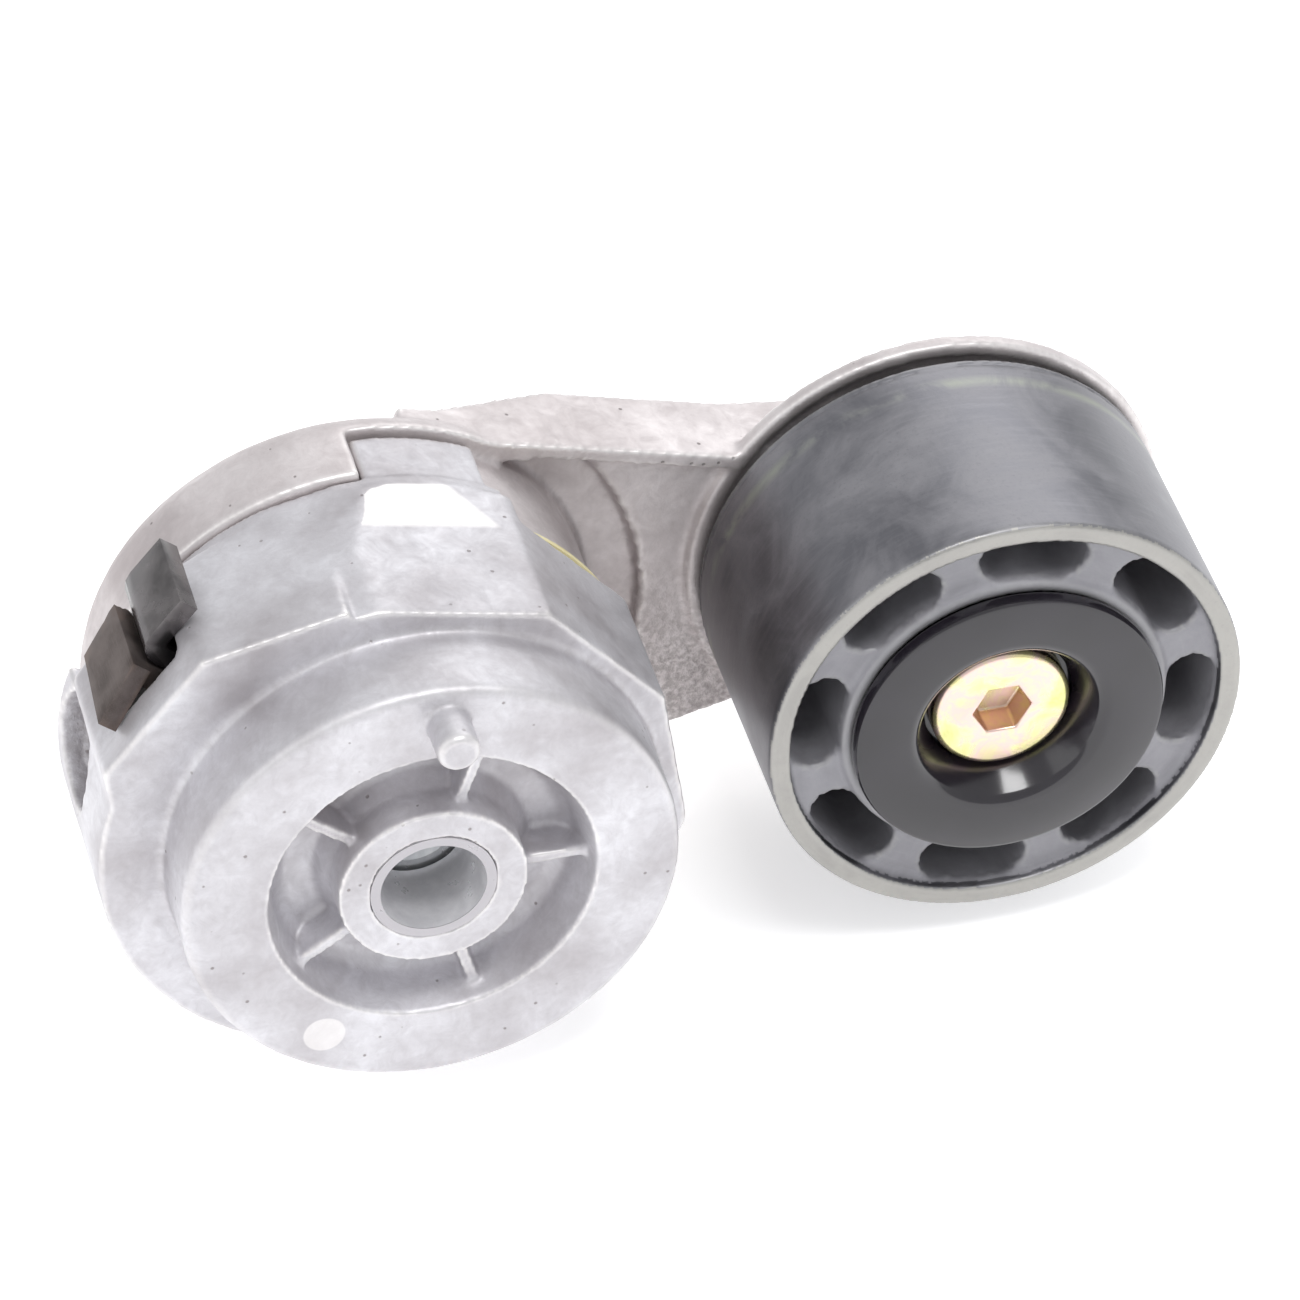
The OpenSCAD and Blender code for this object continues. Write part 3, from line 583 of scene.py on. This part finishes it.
def copy_of(node: str, name: str, flat_angle: float = 0.2) -> bpy.types.Object:
    """Copies a CAD node's mesh as a new welded piece with clean flat faces.

    Args:
        node: the CAD node.
        name: the new piece's name.
        flat_angle: faces that meet at less than this angle, in degrees, become one.

    Returns:
        The new piece, which rides on nothing yet.
    """
    pick(frame["nodes"][node])
    bpy.ops.object.duplicate()
    piece = bpy.context.object
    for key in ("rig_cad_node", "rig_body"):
        del piece[key]
    piece.parent = None
    piece.name = name
    piece.data.materials.clear()
    bpy.ops.object.mode_set(mode="EDIT")
    bpy.ops.mesh.select_all(action="SELECT")
    bpy.ops.mesh.remove_doubles(threshold=WELD)
    bpy.ops.mesh.customdata_custom_splitnormals_clear()
    bpy.ops.mesh.dissolve_limited(angle_limit=math.radians(flat_angle))
    bpy.ops.object.mode_set(mode="OBJECT")
    return piece


def modify(piece: bpy.types.Object, kind: str, **settings: object) -> None:
    """Adds a modifier and applies it.

    Args:
        piece: the mesh.
        kind: the modifier's type.
        settings: attributes of the modifier.
    """
    pick(piece)
    modifier = piece.modifiers.new(kind.lower(), kind)
    for key, value in settings.items():
        setattr(modifier, key, value)
    bpy.ops.object.modifier_apply(modifier=modifier.name)


def weigh(piece: bpy.types.Object, name: str, weight: Callable[[Vector], float]) -> str:
    """Paints a vertex group by each point's place.

    Args:
        piece: the mesh.
        name: the group's name.
        weight: a point's weight from 0 to 1.

    Returns:
        The group's name.
    """
    group = piece.vertex_groups.new(name=name)
    for vertex in piece.data.vertices:
        group.add([vertex.index], weight(vertex.co), "REPLACE")
    return name


def finish_piece(
    piece: bpy.types.Object,
    body: str,
    replaced: tuple[str, ...],
    materials: list[bpy.types.Material],
    shading: Shading,
) -> None:
    """Shades and dresses a piece and puts it on its body.

    Args:
        piece: the finished mesh.
        body: the CAD body it rides on.
        replaced: the CAD nodes it stands for.
        materials: its materials, the main one first.
        shading: how its faces are shaded.
    """
    pick(piece)
    if shading is Shading.ALL_SMOOTH:
        bpy.ops.object.shade_smooth()
    else:
        bpy.ops.object.shade_smooth_by_angle(angle=math.radians(SMOOTH_ANGLE))
    for material in materials:
        piece.data.materials.append(material)
    piece.vertex_groups.clear()
    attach(piece, body)
    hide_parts(*replaced)
    log.info("%s: %d faces on %s", piece.name, len(piece.data.polygons), body)


def ease_edges(piece: bpy.types.Object, width_mm: float, segments: int, angle: float) -> None:
    """Rounds the edges where faces meet at more than an angle.

    Args:
        piece: the mesh.
        width_mm: the rounding's width.
        segments: steps across the rounding.
        angle: the least angle in degrees.
    """
    modify(piece, "BEVEL", width=width_mm * MM, segments=segments, limit_method="ANGLE",
           angle_limit=math.radians(angle))


def smoothstep(x: float, low: float, high: float) -> float:
    """Returns 0 below low, 1 above high and a smooth step between them."""
    t = min(1.0, max(0.0, (x - low) / (high - low)))
    return t * t * (3 - 2 * t)


def ease(x: float, band_mm: tuple[float, float]) -> float:
    """Steps smoothly from 0 to 1 as a length in metres crosses a band in millimetres."""
    low, high = band_mm
    return smoothstep(x, low * MM, high * MM)


def within(x: float, band_mm: tuple[float, float]) -> bool:
    """Tells whether a length in metres lies inside a band in millimetres."""
    low, high = band_mm
    return low * MM < x < high * MM


def polar(point: Vector, axis_x: float = 0.0) -> tuple[float, float]:
    """Returns a point's distance from an axis along Y and its angle in degrees, seen from the front."""
    return math.hypot(point.x - axis_x, point.z), math.degrees(math.atan2(point.z, point.x - axis_x))


def clouds(name: str, size: float) -> bpy.types.Texture:
    """Makes a procedural cloud texture with features of the given size in metres."""
    texture = bpy.data.textures.new(name, "CLOUDS")
    texture.noise_scale = size
    texture.noise_depth = 2
    return texture


# ---- castings --------------------------------------------------------------------------------------


@dataclass
class Casting:
    """A die casting: its CAD solid re-skinned, its edges softened and its skin made uneven."""

    node: str
    name: str
    body: str
    slot: str
    finish: CastAluminium
    voxel_mm: float
    soften: int
    keep_share: float
    softness: Callable[[Vector], float]
    coarseness: Callable[[Vector], float]
    skin_mm: float = 5.0
    skin_depth_mm: float = 0.16
    core_mm: float = 1.6
    core_depth_mm: float = 0.9

    def build(self) -> None:
        """Models the casting."""
        piece = copy_of(self.node, self.name)
        modify(piece, "REMESH", mode="VOXEL", voxel_size=self.voxel_mm * MM, use_smooth_shade=True)
        modify(piece, "SMOOTH", factor=0.5, iterations=3)
        soft = weigh(piece, "soft", self.softness)
        modify(piece, "SMOOTH", factor=0.5, iterations=self.soften, vertex_group=soft)
        skin = clouds(self.name + "_skin", self.skin_mm * MM)
        modify(piece, "DISPLACE", texture=skin, texture_coords="LOCAL",
               strength=self.skin_depth_mm * MM, mid_level=0.5)
        rough = weigh(piece, "rough", self.coarseness)
        core = clouds(self.name + "_core", self.core_mm * MM)
        modify(piece, "DISPLACE", texture=core, texture_coords="LOCAL",
               strength=self.core_depth_mm * MM, mid_level=0.6, vertex_group=rough)
        modify(piece, "DECIMATE", ratio=self.keep_share)
        finish_piece(piece, self.body, (self.node,), [self.finish.material()],
                     Shading.ALL_SMOOTH)


@dataclass
class SpringCase:
    """The case: its casting, with the spring's end and the keeper in its window."""

    shoulder_y_mm: tuple[float, float] = (9.0, 13.0)
    seam_y_mm: tuple[float, float] = (43.7, 45.4)
    face_softness: float = 0.12
    seam_softness: float = 0.1
    pocket_angles: tuple[float, float] = (160.0, 183.0)
    pocket_r_mm: tuple[float, float] = (41.5, 44.0)
    pocket_y_mm: tuple[float, float] = (27.0, 44.0)
    tear_y_mm: tuple[float, float] = (4.2, 0.3)
    tear_mm: float = 0.7

    def softness(self, point: Vector) -> float:
        """Softens the casting little round the face and along the back seam.

        Args:
            point: a point of the casting.

        Returns:
            The softening there, from 0 to 1.
        """
        seam = ease(point.y, self.seam_y_mm)
        shoulder = ease(point.y, self.shoulder_y_mm)
        front = self.face_softness + (1 - self.face_softness) * shoulder
        return front * (1 - (1 - self.seam_softness) * seam)

    def coarseness(self, point: Vector) -> float:
        """Roughens the floor of the cored pocket: returns 1 there and 0 elsewhere."""
        r, angle = polar(point)
        low, high = self.pocket_angles
        inside = within(r, self.pocket_r_mm) and within(point.y, self.pocket_y_mm)
        return 1.0 if inside and low < angle % 360 < high else 0.0

    def build_casting(self) -> None:
        """Models the case's casting."""
        finish = CaseAluminium("aluminium_die_cast_case")
        Casting("spring_case", "case_casting", "case", "cast_aluminium", finish, voxel_mm=0.5, soften=9,
                keep_share=0.45, softness=self.softness, coarseness=self.coarseness).build()

    def build_spring_end(self) -> None:
        """Models the spring strip with its rolled round edges."""
        finish = BlackenedSteel("spring_steel_black_oxide", "#3a3739", "#5e5a5c", "#a09c9a", (0.3, 3, 0.3),
                                roughness=0.24)
        piece = copy_of("torsion_spring", "spring_strip")
        ease_edges(piece, 0.55, 3, 40)
        finish_piece(piece, "case", ("torsion_spring",), [finish.material()],
                     Shading.SMOOTH_BY_ANGLE)

    def build_keeper(self) -> None:
        """Models the sheared keeper with its torn back edge."""
        finish = BlackenedSteel("steel_sheared_keeper", "#5a524f", "#7d7471", "#8f7a6e", (3, 0.2, 3),
                                roughness=0.5)
        piece = copy_of("spring_keeper", "spring_keeper_clip")
        pick(piece)
        bpy.ops.object.mode_set(mode="EDIT")
        bpy.ops.mesh.select_all(action="SELECT")
        bpy.ops.mesh.subdivide(number_cuts=5)
        bpy.ops.object.mode_set(mode="OBJECT")
        rng = random.Random(7)
        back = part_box("spring_keeper")[1].y
        start, end = (back - value * MM for value in self.tear_y_mm)
        for vertex in piece.data.vertices:
            torn = smoothstep(vertex.co.y, start, end)
            vertex.co.y -= torn * rng.uniform(0, self.tear_mm) * MM
        ease_edges(piece, 0.35, 2, 50)
        finish_piece(piece, "case", ("spring_keeper",), [finish.material()],
                     Shading.SMOOTH_BY_ANGLE)

    def build(self) -> None:
        """Builds every visible piece of the case."""
        self.build_casting()
        self.build_spring_end()
        self.build_keeper()


@dataclass
class TensionArm:
    """The arm's casting, with its drum, beam and flange."""

    seam_y_mm: tuple[float, float] = (48.0, 50.0)
    beam_x_mm: tuple[float, float] = (30.0, 42.0)
    drum_softness: float = 0.25
    seam_softness: float = 0.1
    wall_r_mm: tuple[float, float] = (45.5, 47.1)
    wall_angles: tuple[float, float] = (-16.0, 54.0)
    wall_back_mm: float = 66.0
    wall_coarseness: float = 0.55
    web_x_mm: tuple[float, float] = (34.0, 42.0)
    web_low_mm: tuple[float, float] = (-4.0, 12.0)
    web_front_y_mm: tuple[float, float] = (59.0, 60.0)
    web_coarseness: float = 0.28

    def softness(self, point: Vector) -> float:
        """Softens the beam, and the drum less, but keeps the drum's front seam.

        Args:
            point: a point of the casting.

        Returns:
            The softening there, from 0 to 1.
        """
        seam = self.seam_softness + (1 - self.seam_softness) * ease(point.y, self.seam_y_mm)
        return (self.drum_softness + (1 - self.drum_softness) * ease(point.x, self.beam_x_mm)) * seam

    def coarseness(self, point: Vector) -> float:
        """Roughens the wall of the lug's pocket and the low part of the web.

        Args:
            point: a point of the casting.

        Returns:
            The roughening there, from 0 to 1.
        """
        r, angle = polar(point)
        low, high = self.wall_angles
        if within(r, self.wall_r_mm) and low < angle < high and point.y < self.wall_back_mm * MM:
            return self.wall_coarseness
        web = ease(point.x, self.web_x_mm) * ease(-point.z, self.web_low_mm)
        return self.web_coarseness * web * (1 - ease(point.y, self.web_front_y_mm))

    def build(self) -> None:
        """Builds the arm's casting."""
        finish = ArmAluminium("aluminium_die_cast_arm", pale="#e0dada", dull="#bab2b2", stain_and_crease_shade="#7b7371")
        Casting("tensioner_arm", "arm_casting", "arm", "arm_aluminium", finish, voxel_mm=0.6, soften=4,
                keep_share=0.5, softness=self.softness, coarseness=self.coarseness).build()


@dataclass
class IdlerPulley:
    """The pulley with its rough-edged windows, the dished dust shield and the bolt."""

    window_r_mm: tuple[float, float] = (25.5, 33.6)
    torn_depth_mm: tuple[float, float] = (2.1, 3.4)
    flash_mm: float = 1.1
    flash_depth_mm: float = 0.6
    rim_depth_mm: float = 0.7
    rim_facing: float = -0.55
    streak_mm: float = 5.6
    voxel_mm: float = 0.5
    # The shield's thickness and bore; its rim as (inward, backward) steps from the front corner;
    # the radii of its dish and its seat, each with the radius of the bend there
    shield_t_mm: float = 1.2
    shield_bore_mm: float = 6.2
    shield_rim_mm: tuple = ((0.0, 2.2), (0.0, 0.8), (0.25, 0.25), (0.8, 0.0))
    dish_mm: tuple[float, float] = (16.2, 2.6)
    seat_mm: tuple[float, float] = (11.3, 2.0)

    def __post_init__(self) -> None:
        """Reads the pulley's box and axis from the frame once."""
        self.low, self.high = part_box("pulley")
        self.axis_x = (self.low.x + self.high.x) / 2

    def torn_edge(self, point: Vector) -> float:
        """The windows' front edges carry a thin ragged flash; the rest of the pulley is smooth."""
        r, _ = polar(point, self.axis_x)
        depth = point.y - self.low.y
        return 1.0 if within(r, self.window_r_mm) and within(depth, self.torn_depth_mm) else 0.0

    def build_wheel(self) -> None:
        """Models the pulley, softens its edges and roughens the windows' edges."""
        streak_y = self.high.y - self.streak_mm * MM
        wheel = TurnedSteel("steel_phosphated_turned", "#75757a", "#9a999d", self.axis_x, streak_y)
        inside = TurnedSteel("steel_phosphated_cast", "#8c8b90", "#a5a4a9", self.axis_x, streak_y,
                             roughness=0.55, metallic=0.4)
        rim = TurnedSteel("steel_machined_rim", "#9e9c99", "#b5b3af", self.axis_x, streak_y, roughness=0.45)
        piece = copy_of("pulley", "pulley_wheel")
        modify(piece, "REMESH", mode="VOXEL", voxel_size=self.voxel_mm * MM, use_smooth_shade=True)
        modify(piece, "SMOOTH", factor=0.5, iterations=3)
        torn = weigh(piece, "torn", self.torn_edge)
        flash = clouds("window_flash", self.flash_mm * MM)
        modify(piece, "DISPLACE", texture=flash, texture_coords="LOCAL",
               strength=self.flash_depth_mm * MM, mid_level=0.5, vertex_group=torn)
        modify(piece, "DECIMATE", ratio=0.5)
        finish_piece(piece, "idler", ("pulley",),
                     [wheel.material(), inside.material(), rim.material()], Shading.ALL_SMOOTH)
        rim_back = self.low.y + self.rim_depth_mm * MM
        for polygon in piece.data.polygons:
            r, _ = polar(polygon.center, self.axis_x)
            if r < self.window_r_mm[1] * MM and polygon.center.y > rim_back:
                polygon.material_index = 1
            elif polygon.center.y < rim_back and polygon.normal.y < self.rim_facing:
                polygon.material_index = 2

    def shield_profile(self) -> list[tuple[float, float]]:
        """Returns the front of the dished shield's section as (radius, y) in metres, from the rim in."""
        low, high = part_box("dust_shield")
        front, floor_y = low.y, high.y - self.shield_t_mm * MM
        rim = (high.z - low.z) / 2
        outer = [(rim - inward * MM, front + back * MM) for inward, back in self.shield_rim_mm]
        dish, roll = (value * MM for value in self.dish_mm)
        seat, foot = (value * MM for value in self.seat_mm)
        lip_turns = [math.radians(degrees) for degrees in range(0, 66, 11)]
        bowl_turns = [math.radians(degrees) for degrees in range(60, -1, -12)]
        lip = [(dish - roll * math.sin(turn), front + roll * (1 - math.cos(turn))) for turn in lip_turns]
        bowl = [(seat + foot * (1 - math.sin(turn)), floor_y - foot * (1 - math.cos(turn)))
                for turn in bowl_turns]
        return outer + lip + bowl + [(self.shield_bore_mm * MM, floor_y)]

    def build_shield(self) -> None:
        """Models the dished shield: a circle extruded along its section, then given its thickness."""
        centre = Vector((self.axis_x, 0, 0))
        profile = self.shield_profile()
        deselect_all()
        r, y = profile[0]
        bpy.ops.mesh.primitive_circle_add(vertices=128, radius=r, location=centre + Vector((0, y, 0)),
                                          rotation=(math.pi / 2, 0, 0))
        piece = bpy.context.object
        piece.name = "dust_shield_pressing"
        bpy.ops.object.transform_apply(location=True, rotation=True, scale=True)
        bpy.ops.object.mode_set(mode="EDIT")
        bpy.ops.mesh.select_all(action="SELECT")
        for next_r, next_y in profile[1:]:
            bpy.ops.mesh.extrude_edges_move(TRANSFORM_OT_translate={"value": (0, next_y - y, 0)})
            bpy.ops.transform.resize(value=(next_r / r, 1, next_r / r),
                                     center_override=centre + Vector((0, next_y, 0)))
            r, y = next_r, next_y
        bpy.ops.mesh.select_all(action="SELECT")
        bpy.ops.mesh.normals_make_consistent(inside=False)
        bpy.ops.object.mode_set(mode="OBJECT")
        front_face = min(piece.data.polygons, key=lambda p: abs(p.center.y - profile[4][1]))
        offset = -1.0 if front_face.normal.y < 0 else 1.0
        modify(piece, "SOLIDIFY", thickness=self.shield_t_mm * MM, offset=offset)
        finish = SmoothCoat("steel_black_enamel", "#161219", "#1e1a22", 0.2, coat=0.6, drift_mm=9,
                            skin_mm=1.4, skin=0.1, specks="#8f8c8c")
        finish_piece(piece, "arm", ("dust_shield",), [finish.material()],
                     Shading.SMOOTH_BY_ANGLE)

    def build_bolt(self) -> None:
        """Models the bolt with its eased head and socket."""
        piece = copy_of("pulley_bolt", "pulley_bolt_head")
        ease_edges(piece, 0.45, 3, 35)
        finish_piece(piece, "arm", ("pulley_bolt",), [YellowZinc().material()],
                     Shading.SMOOTH_BY_ANGLE)

    def build(self) -> None:
        """Builds every visible piece on the pulley's axis."""
        self.build_wheel()
        self.build_shield()
        self.build_bolt()


@dataclass
class KeptParts:
    """The CAD nodes that stay as they are and get a finish."""

    finishes: tuple[tuple[tuple[str, ...], object], ...] = (
        (("pilot_bush",),
         SmoothCoat("steel_bright_zinc_sleeve", "#f5f4f6", "#dedde0", 0.3, metallic=0.4, drift_mm=4,
                    skin=0.1, front="#b9b6ba")),
        (("pivot_tube",),
         SmoothCoat("steel_bright_zinc", "#dcdedf", "#c2c6c8", 0.3, metallic=0.85, drift_mm=4, skin=0.2)),
        (("retaining_plate", "rear_spacer"),
         SmoothCoat("steel_zinc_washer", "#c3c8cb", "#a5abaf", 0.32, metallic=1.0, skin=0.25)),
        (("spring_liner", "damping_shoe", "thrust_washer", "friction_disc"),
         SmoothCoat("nylon_natural", "#e9e0b4", "#d8cc9a", 0.45, skin=0.2)),
        (("pivot_bushing_front", "pivot_bushing_rear"),
         SmoothCoat("bronze_sintered", "#a98a58", "#8a6d42", 0.5, metallic=1.0, skin=0.4)),
        (("spring_plate", "threaded_insert", "bearing_sleeve", "snap_ring"),
         SmoothCoat("steel_oiled", "#8f9294", "#74777a", 0.4, metallic=1.0, skin=0.25)),
        (("bearing_inner_front", "bearing_inner_rear", "bearing_outer_front", "bearing_outer_rear",
          "balls_front", "balls_rear"),
         SmoothCoat("bearing_steel_ground", "#c9ccd0", "#b5b9bd", 0.16, metallic=1.0, skin=0.08)),
        (("cage_front", "cage_rear"),
         SmoothCoat("brass_pressed", "#c29e58", "#a98646", 0.34, metallic=1.0, skin=0.2)),
        (("seal_front", "seal_rear"),
         SmoothCoat("rubber_moulded", "#1a1a1a", "#232323", 0.6, skin=0.3)),
        (("rear_shield",),
         SmoothCoat("steel_black_enamel_rear", "#1b1a1d", "#252428", 0.35, coat=0.4, skin=0.15)),
    )

    def dress(self) -> None:
        """Gives each kept node its finish."""
        for nodes, finish in self.finishes:
            material = finish.material()
            for name in nodes:
                mesh = frame["nodes"][name].data
                mesh.materials.clear()
                mesh.materials.append(material)
                log.info("%s: %s", name, material.name)


@dataclass
class Studio:
    """Pale floor, soft lights and the camera."""

    lens_mm: float = 188.06
    sensor_mm: float = 36.0
    camera_at: tuple[float, float, float] = (-0.1558, -0.7127, 0.6723)
    looks_along: tuple[float, float, float] = (0.1938, 0.7331, -0.6519)
    floor_size: float = 8.0
    floor_gap_mm: float = 0.2
    floor_glow: float = 0.45
    world_light: float = 0.76
    aim_at: tuple[float, float, float] = (0.04, 0.03, 0.0)
    # Each soft light's name, place, width and height in metres, and power in watts
    softboxes: tuple = (("softbox_back", (0.55, 0.95, 0.72), (1.0, 0.5), 3.2),
                        ("softbox_top", (0.15, -0.35, 1.1), (0.5, 0.3), 5),
                        ("softbox_left", (-1.0, -0.3, 0.6), (0.8, 0.8), 1.5))

    def camera(self) -> None:
        """Makes the scene's camera."""
        data = bpy.data.cameras.new("studio_camera")
        data.lens, data.sensor_width = self.lens_mm, self.sensor_mm
        data.clip_start, data.clip_end = 0.01, 30
        camera = bpy.data.objects.new("studio_camera", data)
        bpy.context.scene.collection.objects.link(camera)
        camera.location = self.camera_at
        camera.rotation_mode = "QUATERNION"
        camera.rotation_quaternion = Vector(self.looks_along).to_track_quat("-Z", "Y")
        bpy.context.scene.camera = camera

    def floor(self) -> None:
        """Makes the pale floor under the object."""
        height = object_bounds()[0].z - self.floor_gap_mm * MM
        deselect_all()
        bpy.ops.mesh.primitive_plane_add(size=self.floor_size, location=(0, 0, height))
        floor = bpy.context.object
        floor.name = "studio_floor"
        material, tree = new_tree("studio_floor_paper")
        surface(tree, {"Base Color": linear("#fafafa"), "Roughness": 0.9, "Specular IOR Level": 0.1,
                       "Emission Color": linear("#ffffff"), "Emission Strength": self.floor_glow}, {})
        floor.data.materials.append(material)
        floor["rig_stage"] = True

    def light(self, name: str, at: tuple, size: tuple[float, float], power: float) -> None:
        """Adds a soft rectangular light that faces the object.

        Args:
            name: the light's name.
            at: its place.
            size: its width and height.
            power: its power in watts.
        """
        data = bpy.data.lights.new(name, "AREA")
        data.shape, data.size, data.size_y, data.energy = "RECTANGLE", *size, power
        lamp = bpy.data.objects.new(name, data)
        bpy.context.scene.collection.objects.link(lamp)
        lamp.location = at
        lamp.rotation_mode = "QUATERNION"
        lamp.rotation_quaternion = (Vector(self.aim_at) - Vector(at)).to_track_quat("-Z", "Y")

    def build(self) -> None:
        """Builds the whole studio."""
        self.camera()
        self.floor()
        for name, at, size, power in self.softboxes:
            self.light(name, at, size, power)
        world = bpy.data.worlds.new("studio_air")
        bpy.context.scene.world = world
        world.use_nodes = True
        background = world.node_tree.nodes["Background"]
        background.inputs["Color"].default_value = linear("#f4f5f7")
        background.inputs["Strength"].default_value = self.world_light
        bpy.context.scene.view_settings.view_transform = "Standard"


def main() -> None:
    """Builds every sub-assembly in order, then the studio."""
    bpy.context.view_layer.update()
    SpringCase().build()
    TensionArm().build()
    IdlerPulley().build()
    KeptParts().dress()
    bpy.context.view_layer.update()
    Studio().build()


if __name__ == "__main__":
    main()
